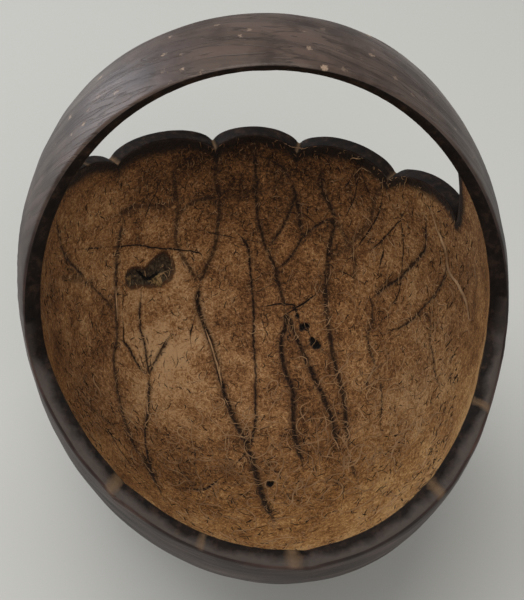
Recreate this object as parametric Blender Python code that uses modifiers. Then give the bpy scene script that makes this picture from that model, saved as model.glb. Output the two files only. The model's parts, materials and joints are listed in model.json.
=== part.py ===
"""Coconut-shell basket: a scalloped bowl and a strap handle sawn from one nut, on a glued ring foot.

Metres, +Z up. The origin is on the table, under the middle of the basket's outline. The lower
lip of the bowl faces -Y, and the strap handle crosses from +X to -X.
"""
import math

import bmesh
import bpy
from mathutils import Vector

MM = 0.001

# The nut, measured from its middle. It is a little longer in front, with its nose off to one side.
NUT_HALF_WIDTH = 55.0 * MM
NUT_FRONT = 67.0 * MM
NUT_BACK = 54.0 * MM
NUT_ABOVE = 64.5 * MM
NUT_BELOW = 65.5 * MM
UPPER_FULLNESS = 2.0
LOWER_FULLNESS = 2.2
NOSE_OFFSET = 3.6 * MM

# Walls and clearances. The handle thins from the bowl's wall at its roots to its top.
BOWL_WALL = 4.2 * MM
HANDLE_TOP_WALL = 2.6 * MM
FACE_GAP = 0.3 * MM

# Handle: how far its edges stand in front of and behind the nut's middle
HANDLE_FRONT_AT_TOP = 7.5 * MM
HANDLE_FRONT_FLARE = 18.0 * MM
HANDLE_FLARE_POWER = 1.3
HANDLE_BACK_AT_TOP = 13.5 * MM
HANDLE_BACK_FLARE = 2.0 * MM
HANDLE_EDGE_LEAN = 2.0 * MM

# Height above the nut's middle of the bowl's rim, at the back corners of the handle's two roots
ROOT_BACK_HEIGHT = {"right": 2.0 * MM, "left": 12.0 * MM}

# Front rim: cut on a plane that falls towards the lip, with shallow notches
FRONT_LIP_HEIGHT = -15.5 * MM
FRONT_RIM_SLOPE = 0.45
FRONT_NOTCHES = (-125.0, -88.0, -58.0)
FRONT_NOTCH_DEPTH = 1.2 * MM
FRONT_NOTCH_HALF_ANGLE = 3.5

# Back rim: the notches between its five scallops, as direction in degrees and height
BACK_NOTCHES = ((45.0, -1.0 * MM), (75.0, -0.5 * MM), (100.0, 1.0 * MM), (132.0, 7.0 * MM))
BACK_SCALLOP_RISE = 3.5 * MM

# Ring foot, a slice of a smaller nut
FOOT_RADIUS = 30.0 * MM
FOOT_WALL = 4.0 * MM
FOOT_TAPER = 3.0 * MM
FOOT_EDGE = 0.6 * MM
NUT_CLEARANCE = 3.0 * MM
GLUE_THICKNESS = 0.8 * MM
GLUE_INSET = 0.6 * MM

# Mesh fineness
COLUMNS_PER_SCALLOP = 8
COLUMNS_PER_ROOT = 10
BOWL_ROWS = 12
HANDLE_STEPS = 56
HANDLE_BANDS = 6
RING_STEPS = 48
SOLVE_ROUNDS = 8

# Material slots
OUTSIDE, INSIDE = 0, 1

NUT_CENTRE = Vector((0.0, (NUT_FRONT - NUT_BACK) / 2, NUT_CLEARANCE + NUT_BELOW))


def reach_along_z(height, grow=0.0):
    """Height of the top or depth of the bottom of the nut, whichever is on this side of its middle."""
    return (NUT_ABOVE if height > 0 else NUT_BELOW) + grow


def reach_along_y(y, grow=0.0):
    """Length of the nut's back or front half, whichever this place in Y is in."""
    return (NUT_BACK if y > 0 else NUT_FRONT) + grow


def girth(height, grow=0.0):
    """Width of the nut at a height above its middle, as a share of its full width."""
    fullness = UPPER_FULLNESS if height > 0 else LOWER_FULLNESS
    return max(0.0, 1 - abs(height / reach_along_z(height, grow)) ** fullness) ** (1 / fullness)


def nut_point(angle, height, grow=0.0):
    """Point on the nut, or on its outline grown outwards, in a direction (radians) at a height."""
    width, depth = NUT_HALF_WIDTH + grow, reach_along_y(math.sin(angle), grow)
    reach = girth(height, grow) / math.hypot(math.cos(angle) / width, math.sin(angle) / depth)
    x, y = reach * math.cos(angle), reach * math.sin(angle)
    return NUT_CENTRE + Vector((x + nose_shift(y), y, height))


def nose_shift(y):
    """Sideways shift of the nut's front half, from its middle to its nose."""
    return NOSE_OFFSET * (y / NUT_FRONT) ** 2 if y < 0 else 0.0


def handle_front(height):
    """Place in Y of the handle's front edge, which flares forward on its way down to the bowl."""
    drop = max(0.0, 1 - height / NUT_ABOVE)
    return -(HANDLE_FRONT_AT_TOP + HANDLE_FRONT_FLARE * drop ** HANDLE_FLARE_POWER)


def handle_back(height):
    """Place in Y of the handle's back edge, which is nearly upright."""
    return HANDLE_BACK_AT_TOP + HANDLE_BACK_FLARE * max(0.0, 1 - height / NUT_ABOVE)


def handle_wall(height):
    """Thickness of the handle at a height."""
    return HANDLE_TOP_WALL + (BOWL_WALL - HANDLE_TOP_WALL) * max(0.0, 1 - height / NUT_ABOVE)


def front_plane(y):
    """Height of the plane that the front rim is cut on."""
    return FRONT_LIP_HEIGHT + FRONT_RIM_SLOPE * (y + NUT_FRONT)


def front_corner():
    """Place in Y and height where the front rim meets the handle's front edge."""
    height = 0.0
    for _ in range(SOLVE_ROUNDS):
        height = front_plane(handle_front(height))
    return handle_front(height), height


def root_height(side, y):
    """Height of the seam between bowl and handle, a straight line from corner to corner."""
    front, front_height = front_corner()
    back = handle_back(ROOT_BACK_HEIGHT[side])
    share = min(1.0, max(0.0, (y - front) / (back - front)))
    return front_height + share * (ROOT_BACK_HEIGHT[side] - front_height)


def corner_angle(side, y):
    """Direction in degrees, from the nut's middle, of a corner of the handle's root."""
    x = NUT_HALF_WIDTH * math.sqrt(girth(root_height(side, y)) ** 2 - (y / reach_along_y(y)) ** 2)
    x += nose_shift(y) if side == "right" else -nose_shift(y)
    angle = math.degrees(math.atan2(y, x))
    return angle if side == "right" else 180 - angle


def rim_stations():
    """Ends of the rim's stretches, right round from the right root's back corner, with heights."""
    front, front_height = front_corner()
    front -= FACE_GAP
    back = {side: handle_back(ROOT_BACK_HEIGHT[side]) + FACE_GAP for side in ROOT_BACK_HEIGHT}
    stations = [(corner_angle("right", back["right"]), ROOT_BACK_HEIGHT["right"], "scallop")]
    stations += [(angle, height, "scallop") for angle, height in BACK_NOTCHES]
    stations += [(corner_angle("left", back["left"]), ROOT_BACK_HEIGHT["left"], "left root")]
    stations += [(corner_angle("left", front), front_height, "front")]
    stations += [(360 + angle, FRONT_LIP_HEIGHT, "front") for angle in FRONT_NOTCHES]
    stations += [(360 + corner_angle("right", front), front_height, "right root")]
    return stations


def front_rim_height(angle):
    """Height of the sloping front rim in a direction, with its notches cut in."""
    height = FRONT_LIP_HEIGHT
    for _ in range(SOLVE_ROUNDS):
        height = front_plane((nut_point(angle, height) - NUT_CENTRE).y)
    nearest = min(abs(math.degrees(angle) - 360 - notch) for notch in FRONT_NOTCHES)
    return height - FRONT_NOTCH_DEPTH * max(0.0, 1 - nearest / FRONT_NOTCH_HALF_ANGLE)


def root_rim_height(side, angle):
    """Height of the bowl's rim under the handle, in a direction."""
    height = ROOT_BACK_HEIGHT[side]
    for _ in range(SOLVE_ROUNDS):
        height = root_height(side, (nut_point(angle, height) - NUT_CENTRE).y)
    return height


def rim_columns():
    """Directions (radians) and rim heights of the bowl's mesh columns, in order round the rim."""
    stations = rim_stations()
    columns = []
    for index, (start, start_height, stretch) in enumerate(stations):
        end, end_height, _ = stations[(index + 1) % len(stations)]
        if end < start:
            end += 360
        count = COLUMNS_PER_ROOT if "root" in stretch else COLUMNS_PER_SCALLOP
        for step in range(count):
            share = step / count
            angle = math.radians(start + (end - start) * share)
            if stretch == "scallop":
                height = start_height + (end_height - start_height) * share
                height += BACK_SCALLOP_RISE * math.sin(math.pi * share) ** 0.7
            elif stretch == "front":
                height = front_rim_height(angle)
            else:
                height = root_rim_height(stretch.split()[0], angle)
            columns.append((angle, height))
    return columns


def material(name, colour, roughness):
    """A plain Principled finish."""
    finish = bpy.data.materials.new(name)
    finish.use_nodes = True
    shader = finish.node_tree.nodes["Principled BSDF"]
    shader.inputs["Base Color"].default_value = (*colour, 1.0)
    shader.inputs["Roughness"].default_value = roughness
    shader.inputs["Metallic"].default_value = 0.0
    return finish


def add_object(name, mesh, collection, finish=None):
    """Puts a mesh in the scene as a named, smooth-shaded object."""
    piece = bpy.data.objects.new(name, mesh)
    collection.objects.link(piece)
    if finish:
        mesh.materials.append(finish)
        mesh.shade_smooth()
        mesh.set_sharp_from_angle(angle=math.radians(40))
    return piece


def cut(piece, cutter, operation="DIFFERENCE"):
    """Cuts a piece with a cutter that stays in the file as a wire guide."""
    boolean = piece.modifiers.new(cutter.name, "BOOLEAN")
    boolean.operation = operation
    boolean.solver = "EXACT"
    boolean.object = cutter


def bowl_surface(shape, columns, grow, finish):
    """Lower part of the nut: the lower half of a sphere, reshaped so that its edge is the rim."""
    rows = 2 * BOWL_ROWS
    made = bmesh.ops.create_uvsphere(shape, u_segments=len(columns), v_segments=rows, radius=1.0)
    upper = [vertex for vertex in made["verts"] if vertex.co.z > 0.001]
    lower = [vertex for vertex in made["verts"] if vertex.co.z <= 0.001]
    bmesh.ops.delete(shape, geom=upper, context="VERTS")
    for vertex in lower:
        turn = math.atan2(vertex.co.y, vertex.co.x) / math.tau
        angle, rim = columns[round(turn * len(columns)) % len(columns)]
        below_rim = math.asin(min(1.0, -vertex.co.z)) / (math.pi / 2)
        rim_slant = math.asin(rim / reach_along_z(rim, grow))
        slant = rim_slant - below_rim * (rim_slant + math.pi / 2)
        height = math.sin(slant) * reach_along_z(slant, grow)
        vertex.co = nut_point(angle, height, grow)
    set_finish(lower, finish)


def handle_surface(shape, depth, finish):
    """Strap over the top of the nut: a flat grid, bent onto the nut between its two edges.

    The depth is the share of the wall below the nut's outside that the surface lies at.
    """
    made = bmesh.ops.create_grid(shape, x_segments=HANDLE_STEPS, y_segments=HANDLE_BANDS, size=1.0)
    for vertex in made["verts"]:
        along, across = (vertex.co.x + 1) / 2, (vertex.co.y + 1) / 2
        y, height = 0.0, 0.0
        for _ in range(SOLVE_ROUNDS):
            grow = -depth * handle_wall(height)
            share = math.sqrt(1 - (y / reach_along_y(y, grow)) ** 2)
            top = (NUT_ABOVE + grow) * share
            start = math.asin((root_height("right", y) + FACE_GAP) / top)
            end = math.pi - math.asin((root_height("left", y) + FACE_GAP) / top)
            arch = start + (end - start) * along
            height = top * math.sin(arch)
            radial = 1 + grow / NUT_HALF_WIDTH
            lean = depth * HANDLE_EDGE_LEAN * height / NUT_ABOVE
            front, back = handle_front(height) * radial + lean, handle_back(height) * radial
            y = front + (back - front) * across
        x = (NUT_HALF_WIDTH + grow) * share * math.cos(arch) + nose_shift(y)
        vertex.co = NUT_CENTRE + Vector((x, y, height))
    set_finish(made["verts"], finish)


def set_finish(vertices, finish):
    """Gives the faces on these vertices one of their object's material slots."""
    for vertex in vertices:
        for face in vertex.link_faces:
            face.material_index = finish


def join_walls(shape, name):
    """Closes an outer and an inner surface into one wall, with a band round their edges."""
    edges = [edge for edge in shape.edges if edge.is_boundary]
    bmesh.ops.bridge_loops(shape, edges=edges)
    bmesh.ops.recalc_face_normals(shape, faces=shape.faces)
    return mesh_from(shape, name)


def bowl_mesh():
    """The bowl, between the nut's outside and its inside."""
    shape = bmesh.new()
    columns = rim_columns()
    bowl_surface(shape, columns, 0.0, OUTSIDE)
    bowl_surface(shape, columns, -BOWL_WALL, INSIDE)
    return join_walls(shape, "bowl")


def handle_mesh():
    """The strap, whose front edge is cut slanting back under it."""
    shape = bmesh.new()
    handle_surface(shape, 0.0, OUTSIDE)
    handle_surface(shape, 1.0, INSIDE)
    return join_walls(shape, "handle")


def nut_cutter(name, grow, collection):
    """The whole nut grown outwards, for cutting what is fitted against it."""
    shape = bmesh.new()
    bmesh.ops.create_uvsphere(shape, u_segments=72, v_segments=48, radius=1.0)
    for vertex in shape.verts:
        angle = math.atan2(vertex.co.y, vertex.co.x)
        vertex.co = nut_point(angle, reach_along_z(vertex.co.z, grow) * vertex.co.z, grow)
    cutter = add_object(name, mesh_from(shape, name), collection)
    cutter.hide_render = True
    cutter.display_type = "WIRE"
    return cutter


def mesh_from(shape, name):
    """Turns a bmesh into a mesh."""
    mesh = bpy.data.meshes.new(name)
    shape.to_mesh(mesh)
    shape.free()
    return mesh


def ring(name, profile, collection, finish):
    """A turned ring from a closed profile of (radius, height), centred under the nut."""
    mesh = bpy.data.meshes.new(name)
    points = [(radius, 0.0, height) for radius, height in profile]
    edges = [(index, (index + 1) % len(points)) for index in range(len(points))]
    mesh.from_pydata(points, edges, [])
    piece = add_object(name, mesh, collection, finish)
    piece.location = (0.0, NUT_CENTRE.y, 0.0)
    turn = piece.modifiers.new("turn", "SCREW")
    turn.steps = RING_STEPS
    turn.render_steps = RING_STEPS
    turn.use_merge_vertices = True
    turn.merge_threshold = 0.00001
    return piece


def main():
    for leftover in list(bpy.data.objects):
        bpy.data.objects.remove(leftover)
    parts = bpy.data.collections.new("coconut_shell_basket")
    guides = bpy.data.collections.new("guides")
    for collection in (parts, guides):
        bpy.context.scene.collection.children.link(collection)

    polished_shell = material("polished coconut shell", (0.065, 0.045, 0.038), 0.38)
    raw_shell = material("raw inner shell", (0.190, 0.098, 0.045), 0.75)
    ring_shell = material("ring foot shell", (0.075, 0.048, 0.036), 0.45)
    glue = material("hardened glue", (0.30, 0.20, 0.10), 0.30)

    bowl = add_object("bowl", bowl_mesh(), parts, polished_shell)
    bowl.data.materials.append(raw_shell)

    handle = add_object("handle", handle_mesh(), parts, polished_shell)
    handle.data.materials.append(raw_shell)

    # The ring foot and the glue on it are turned too tall, then trimmed to follow the nut.
    tall = NUT_CLEARANCE + NUT_BELOW / 2
    top_radius = FOOT_RADIUS - FOOT_TAPER
    slope = FOOT_TAPER / tall
    foot_profile = [
        (top_radius, tall),
        (FOOT_RADIUS - FOOT_EDGE * slope, FOOT_EDGE),
        (FOOT_RADIUS - FOOT_EDGE, 0.0),
        (FOOT_RADIUS - FOOT_WALL + FOOT_EDGE, 0.0),
        (FOOT_RADIUS - FOOT_WALL, FOOT_EDGE),
        (top_radius - FOOT_WALL, tall),
    ]
    foot = ring("foot_ring", foot_profile, parts, ring_shell)
    cut(foot, nut_cutter("foot_trim", 2 * FACE_GAP + GLUE_THICKNESS, guides))

    glue_outer = top_radius - GLUE_INSET
    glue_inner = top_radius - FOOT_WALL + GLUE_INSET
    glue_profile = [
        (glue_outer, tall),
        (glue_outer, FOOT_EDGE),
        (glue_inner, FOOT_EDGE),
        (glue_inner, tall),
    ]
    bead = ring("glue_bead", glue_profile, parts, glue)
    cut(bead, nut_cutter("glue_top", FACE_GAP, guides))
    cut(bead, nut_cutter("glue_bottom", FACE_GAP + GLUE_THICKNESS, guides), "INTERSECT")


main()
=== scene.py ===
"""Finish of a coconut-shell basket: one nut sawn to a scalloped bowl with a strap handle.

Metres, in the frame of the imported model: +Z up, the low front lip towards -Y, and the strap handle
crossing from +X to -X. The nut's hard shell is one piece, the raw fibrous skin left on its inside
another, and a ring foot is glued under it.
"""
import json
import math
import random

import bpy
import numpy as np
from mathutils import Matrix, Vector, kdtree, noise
from mathutils.bvhtree import BVHTree

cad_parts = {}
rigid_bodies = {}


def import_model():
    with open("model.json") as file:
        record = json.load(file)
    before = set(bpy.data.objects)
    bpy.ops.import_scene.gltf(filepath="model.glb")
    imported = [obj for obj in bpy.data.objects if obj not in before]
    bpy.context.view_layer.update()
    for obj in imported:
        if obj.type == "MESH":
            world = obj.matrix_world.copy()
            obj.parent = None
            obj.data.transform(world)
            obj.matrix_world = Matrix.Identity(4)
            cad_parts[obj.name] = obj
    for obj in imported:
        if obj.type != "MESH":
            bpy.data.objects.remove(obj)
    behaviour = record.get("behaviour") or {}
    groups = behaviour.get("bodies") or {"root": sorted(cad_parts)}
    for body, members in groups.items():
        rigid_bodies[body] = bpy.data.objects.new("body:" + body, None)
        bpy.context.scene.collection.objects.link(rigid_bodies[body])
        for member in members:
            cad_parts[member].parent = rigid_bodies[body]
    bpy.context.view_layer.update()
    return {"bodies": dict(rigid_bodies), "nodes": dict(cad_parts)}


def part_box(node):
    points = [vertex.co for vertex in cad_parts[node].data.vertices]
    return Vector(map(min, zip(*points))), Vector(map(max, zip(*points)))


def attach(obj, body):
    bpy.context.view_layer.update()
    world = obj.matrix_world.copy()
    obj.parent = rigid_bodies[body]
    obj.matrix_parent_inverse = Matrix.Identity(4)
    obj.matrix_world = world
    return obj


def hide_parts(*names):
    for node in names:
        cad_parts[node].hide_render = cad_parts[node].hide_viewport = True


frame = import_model()
BODY = next(iter(frame["bodies"]))

MM = 0.001

# The nut, measured from its middle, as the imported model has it
NUT_HALF_WIDTH = 55.0 * MM
NUT_FRONT = 67.0 * MM
NUT_BACK = 54.0 * MM
NUT_ABOVE = 64.5 * MM
NUT_BELOW = 65.5 * MM
UPPER_FULLNESS = 2.0
LOWER_FULLNESS = 2.2
NOSE_OFFSET = 3.6 * MM
BOWL_WALL = 4.2 * MM
HANDLE_TOP_WALL = 2.6 * MM
# The foot ring is turned round the nut's upright axis. The bowl's own front doesn't give the middle,
# because its rim is sawn below the nut's widest place and never reaches the full depth.
foot_low, foot_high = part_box("foot_ring")
NUT_CENTRE = np.array((0.0, (foot_low.y + foot_high.y) / 2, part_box("bowl")[0].z + NUT_BELOW))

# Handle edges, in front of and behind the nut's middle
HANDLE_FRONT_AT_TOP = 7.5 * MM
HANDLE_FRONT_FLARE = 18.0 * MM
HANDLE_FLARE_POWER = 1.3
HANDLE_BACK_AT_TOP = 13.5 * MM
HANDLE_BACK_FLARE = 2.0 * MM
HANDLE_EDGE_LEAN = 2.0 * MM
ROOT_BACK_HEIGHT = {"right": 2.0 * MM, "left": 12.0 * MM}

# Rim: the front is cut on a sloping plane with shallow notches, the back in five scallops
FRONT_LIP_HEIGHT = -15.5 * MM
FRONT_RIM_SLOPE = 0.45
FRONT_NOTCHES = (-125.0, -88.0, -58.0)
FRONT_NOTCH_DEPTH = 1.2 * MM
FRONT_NOTCH_HALF_ANGLE = 3.5
BACK_NOTCHES = ((45.0, -1.0 * MM), (75.0, -0.5 * MM), (100.0, 1.0 * MM), (132.0, 7.0 * MM))
BACK_SCALLOP_RISE = 3.5 * MM
NOTCH_DROP = 1.5 * MM
SOLVE_ROUNDS = 8

# Rim to bottom along the bowl's wall, the handle's width, and how close welded vertices lie
RIM_TO_BOTTOM = 95 * MM
HANDLE_WIDTH = 33 * MM
WELD = 0.002 * MM

# Kinds of vertex in a skin of the nut
BOWL, STRAP = 0, 1


# ---------------------------------------------------------------- colours and nodes

def srgb(code):
    """Linear colour of an sRGB hex code."""
    channels = [int(code[start:start + 2], 16) / 255 for start in (1, 3, 5)]
    linear = [c / 12.92 if c <= 0.04045 else ((c + 0.055) / 1.055) ** 2.4 for c in channels]
    return (*linear, 1.0)


def add(tree, kind, links=None, stops=None, **settings):
    """Adds a shader node with its settings, ramp stops and inputs, and gives back its outputs."""
    made = tree.nodes.new("ShaderNode" + kind)
    for name, value in settings.items():
        setattr(made, name, value)
    if stops:
        ramp = made.color_ramp.elements
        while len(ramp) < len(stops):
            ramp.new(0.5)
        for element, (place, code) in zip(ramp, stops):
            element.position = place
            element.color = srgb(code)
    for socket, value in (links or {}).items():
        if isinstance(value, bpy.types.NodeSocket):
            tree.links.new(value, made.inputs[socket])
        else:
            made.inputs[socket].default_value = value
    return made.outputs


def new_finish(name, roughness, ior=1.5, **sockets):
    """A material with its Principled shader, and the values that are the same all over."""
    finish = bpy.data.materials.new(name)
    finish.use_nodes = True
    shader = finish.node_tree.nodes["Principled BSDF"]
    shader.inputs["Roughness"].default_value = roughness
    shader.inputs["IOR"].default_value = ior
    for socket, value in sockets.items():
        shader.inputs[socket.replace("_", " ")].default_value = value
    return finish, finish.node_tree, shader


# ---------------------------------------------------------------- modelling helpers

def pick(piece):
    """Leaves this piece alone selected and active."""
    bpy.ops.object.select_all(action="DESELECT")
    piece.select_set(True)
    bpy.context.view_layer.objects.active = piece


def do_modifier(piece, kind, **settings):
    """Adds a modifier and applies it."""
    made = piece.modifiers.new(kind, kind)
    for name, value in settings.items():
        setattr(made, name, value)
    pick(piece)
    bpy.ops.object.modifier_apply(modifier=made.name)


def mend(piece):
    """Merges doubled vertices, drops loose ones, and turns the faces outwards."""
    pick(piece)
    bpy.ops.object.mode_set(mode="EDIT")
    bpy.ops.mesh.select_all(action="SELECT")
    bpy.ops.mesh.remove_doubles(threshold=WELD)
    bpy.ops.mesh.delete_loose(use_verts=True, use_edges=True, use_faces=False)
    bpy.ops.mesh.select_all(action="SELECT")
    bpy.ops.mesh.normals_make_consistent(inside=False)
    bpy.ops.object.mode_set(mode="OBJECT")
    piece.data.shade_smooth()


def points_of(piece):
    points = np.empty(len(piece.data.vertices) * 3, np.float32)
    piece.data.vertices.foreach_get("co", points)
    return points.reshape(-1, 3).astype(float)


def move_points(piece, points):
    piece.data.vertices.foreach_set("co", np.asarray(points, np.float32).ravel())
    piece.data.update()


def normals_of(piece):
    normals = np.empty(len(piece.data.vertices) * 3, np.float32)
    piece.data.vertices.foreach_get("normal", normals)
    return normals.reshape(-1, 3).astype(float)


def write_values(piece, name, values):
    layer = piece.data.attributes.get(name) or piece.data.attributes.new(name, "FLOAT", "POINT")
    layer.data.foreach_set("value", np.asarray(values, np.float32))


def read_values(piece, name):
    values = np.empty(len(piece.data.vertices), np.float32)
    piece.data.attributes[name].data.foreach_get("value", values)
    return values.astype(float)


def smooth_step(low, high, values):
    share = np.clip((np.asarray(values, float) - low) / (high - low), 0, 1)
    return share * share * (3 - 2 * share)


def waviness(points, size, seed, octaves=3):
    """Smooth random values of about -1 to 1, whose swells are about this size."""
    shift = Vector((seed * 3.7, seed * 1.9, seed * 5.3))
    return np.array([noise.fractal(Vector(p) / size + shift, 1.0, 2.0, octaves) for p in points])


# ---------------------------------------------------------------- the nut

def reach_along_z(height, grow=0.0):
    return np.where(np.asarray(height) > 0, NUT_ABOVE, NUT_BELOW) + grow


def reach_along_y(y, grow=0.0):
    return np.where(np.asarray(y) > 0, NUT_BACK, NUT_FRONT) + grow


def girth(height, grow=0.0):
    """Width of the nut at a height, as a share of its full width."""
    fullness = np.where(np.asarray(height) > 0, UPPER_FULLNESS, LOWER_FULLNESS)
    share = np.abs(height / reach_along_z(height, grow))
    return np.maximum(0.0, 1 - share ** fullness) ** (1 / fullness)


def nose_shift(y):
    """Sideways shift of the nut's front half towards its off-centre nose."""
    return np.where(np.asarray(y) < 0, NOSE_OFFSET * (y / NUT_FRONT) ** 2, 0.0)


def nut_points(angle, height, grow=0.0):
    """Points on the nut, or on its outline grown outwards, in directions at heights."""
    width, depth = NUT_HALF_WIDTH + grow, reach_along_y(np.sin(angle), grow)
    reach = girth(height, grow) / np.hypot(np.cos(angle) / width, np.sin(angle) / depth)
    x, y = reach * np.cos(angle), reach * np.sin(angle)
    return np.stack([x + nose_shift(y), y, height + 0 * x], -1) + NUT_CENTRE


def handle_front(height):
    drop = np.maximum(0.0, 1 - height / NUT_ABOVE)
    return -(HANDLE_FRONT_AT_TOP + HANDLE_FRONT_FLARE * drop ** HANDLE_FLARE_POWER)


def handle_back(height):
    return HANDLE_BACK_AT_TOP + HANDLE_BACK_FLARE * np.maximum(0.0, 1 - height / NUT_ABOVE)


def wall_at(height):
    """Thickness of the nut's wall, which thins towards the top of the handle."""
    drop = np.clip(1 - np.maximum(height, 0.0) / NUT_ABOVE, 0, 1)
    return HANDLE_TOP_WALL + (BOWL_WALL - HANDLE_TOP_WALL) * drop


def front_plane(y):
    return FRONT_LIP_HEIGHT + FRONT_RIM_SLOPE * (y + NUT_FRONT)


def front_corner():
    """Place in Y and height where the front rim meets the handle's front edge."""
    height = 0.0
    for _ in range(SOLVE_ROUNDS):
        height = front_plane(handle_front(height))
    return float(handle_front(height)), float(height)


def root_height(side, y):
    """Height of the line where the handle grows out of the bowl."""
    front, front_height = front_corner()
    back = handle_back(ROOT_BACK_HEIGHT[side])
    share = np.clip((y - front) / (back - front), 0, 1)
    return front_height + share * (ROOT_BACK_HEIGHT[side] - front_height)


def root_angle(side, y):
    """Direction in degrees of a point on that line, before the nose's sideways shift."""
    x = NUT_HALF_WIDTH * math.sqrt(girth(root_height(side, y)) ** 2 - (y / reach_along_y(y)) ** 2)
    angle = math.degrees(math.atan2(y, x))
    return angle if side == "right" else 180 - angle


def front_rim_height(angle):
    """Height of the sloping front rim in a direction, with its notches cut in."""
    height = FRONT_LIP_HEIGHT
    for _ in range(SOLVE_ROUNDS):
        height = front_plane(float(nut_points(angle, height)[1] - NUT_CENTRE[1]))
    nearest = min(abs(math.degrees(angle) - 360 - notch) for notch in FRONT_NOTCHES)
    return height - FRONT_NOTCH_DEPTH * max(0.0, 1 - nearest / FRONT_NOTCH_HALF_ANGLE)


def rim_columns(per_scallop, per_front, per_root):
    """Directions, rim heights and distances along a root from its nearer corner, round the rim."""
    front, front_height = front_corner()
    back = {side: float(handle_back(ROOT_BACK_HEIGHT[side])) for side in ROOT_BACK_HEIGHT}
    stations = [(root_angle("right", back["right"]), ROOT_BACK_HEIGHT["right"], "scallop")]
    stations += [(angle, height - NOTCH_DROP, "scallop") for angle, height in BACK_NOTCHES]
    stations += [(root_angle("left", back["left"]), ROOT_BACK_HEIGHT["left"], "left")]
    stations += [(root_angle("left", front), front_height, "front")]
    stations += [(360 + angle, FRONT_LIP_HEIGHT, "front") for angle in FRONT_NOTCHES]
    stations += [(360 + root_angle("right", front), front_height, "right")]
    counts = {"scallop": per_scallop, "front": per_front, "left": per_root, "right": per_root}
    columns = []
    for index, (start, start_height, stretch) in enumerate(stations):
        end, end_height, _ = stations[(index + 1) % len(stations)]
        if end < start:
            end += 360
        for step in range(counts[stretch]):
            share = step / counts[stretch]
            if stretch == "scallop":
                share = 0.4 * share + 0.3 * (1 - math.cos(math.pi * share))
            angle, from_corner = math.radians(start + (end - start) * share), 0.0
            if stretch == "scallop":
                height = start_height + (end_height - start_height) * share
                height += (BACK_SCALLOP_RISE + NOTCH_DROP) * math.sin(math.pi * share) ** 0.52
            elif stretch == "front":
                height = front_rim_height(angle)
            else:
                span = back[stretch] - front
                across, height = (share if stretch == "right" else 1 - share), 0.0
                for _ in range(SOLVE_ROUNDS):
                    y = handle_front(height) + (handle_back(height) - handle_front(height)) * across
                    height = float(root_height(stretch, y))
                angle = math.radians(root_angle(stretch, float(y)) + (360 if stretch == "right" else 0))
                from_corner = min(share, 1 - share) * span
            columns.append((angle, height, from_corner))
    return np.array(columns)


def bowl_points(angle, rim, share, grow):
    """Bowl vertices: a share of the way down from the rim to the bottom, at a depth in the wall."""
    rim_slant = np.arcsin(rim / reach_along_z(rim, grow))
    slant = rim_slant - share * (rim_slant + math.pi / 2)
    return nut_points(angle, np.sin(slant) * reach_along_z(slant, grow), grow)


def strap_points(along, across, deeper, lean):
    """Strap vertices: shares of the way along and across the handle, at a depth in the wall."""
    y, height = np.zeros_like(along), np.zeros_like(along)
    for _ in range(SOLVE_ROUNDS):
        grow = -deeper(height)
        share = np.sqrt(1 - (y / reach_along_y(y, grow)) ** 2)
        top = (NUT_ABOVE + grow) * share
        start = np.arcsin(root_height("right", y) / top)
        end = math.pi - np.arcsin(root_height("left", y) / top)
        arch = start + (end - start) * along
        height = top * np.sin(arch)
        radial = 1 + grow / NUT_HALF_WIDTH
        leaning = lean * HANDLE_EDGE_LEAN * height / NUT_ABOVE
        front, back = handle_front(height) * radial + leaning, handle_back(height) * radial
        y = front + (back - front) * across
    # Below the nut's middle the section is fuller than an ellipse, as the bowl's is
    low = np.sqrt(np.clip(girth(height, grow) ** 2 - (y / reach_along_y(y, grow)) ** 2, 0, None))
    reach = np.where(height < 0, low * np.sign(np.cos(arch)), share * np.cos(arch))
    x = (NUT_HALF_WIDTH + grow) * reach + nose_shift(y)
    return np.stack([x, y, height], -1) + NUT_CENTRE


def sheet(name, columns, rows):
    """A flat grid to bend into place, with each vertex's shares of the way along and across it."""
    bpy.ops.mesh.primitive_grid_add(x_subdivisions=columns, y_subdivisions=rows, size=2)
    piece = bpy.context.object
    piece.name = name
    flat = points_of(piece)
    return piece, (flat[:, 0] + 1) / 2, (flat[:, 1] + 1) / 2


def nut_skin(name, columns, rows, strap_steps, strap_bands, crowd):
    """One skin of the nut as sawn: a sheet rolled up into the bowl and one bent over as the strap.

    Each vertex keeps what it is and where: its kind, and its shares down or along and across.
    Rows crowd towards the rim by a power.
    """
    bowl, around, down = sheet(name, len(columns), rows)
    column = np.round(around * len(columns)).astype(int) % len(columns)
    share = down ** crowd
    strap, along, across = sheet("strap", strap_steps, strap_bands)
    rim_edge = np.hypot(share * RIM_TO_BOTTOM, columns[column, 2])
    strap_edge = np.minimum(across, 1 - across) * HANDLE_WIDTH
    for piece, kind, values in ((bowl, BOWL, (columns[column, 0], columns[column, 1], share, rim_edge)),
                                (strap, STRAP, (along, across, 0 * along, strap_edge))):
        write_values(piece, "kind", np.full(len(values[0]), kind))
        for label, value in zip(("first", "second", "third", "from_edge"), values):
            write_values(piece, label, value)
        move_points(piece, skin_points(piece, lambda height: 0 * height, 0.0))
    rim = np.empty((len(columns), 3))
    rim[column[share < 1e-6]] = points_of(bowl)[share < 1e-6]
    close_roots(strap, along, np.round(across * strap_bands).astype(int), strap_bands, rim, columns[:, 2])
    pick(bowl)
    strap.select_set(True)
    bpy.ops.object.join()
    mend(bowl)
    check_openings(bowl)
    return bowl


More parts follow.
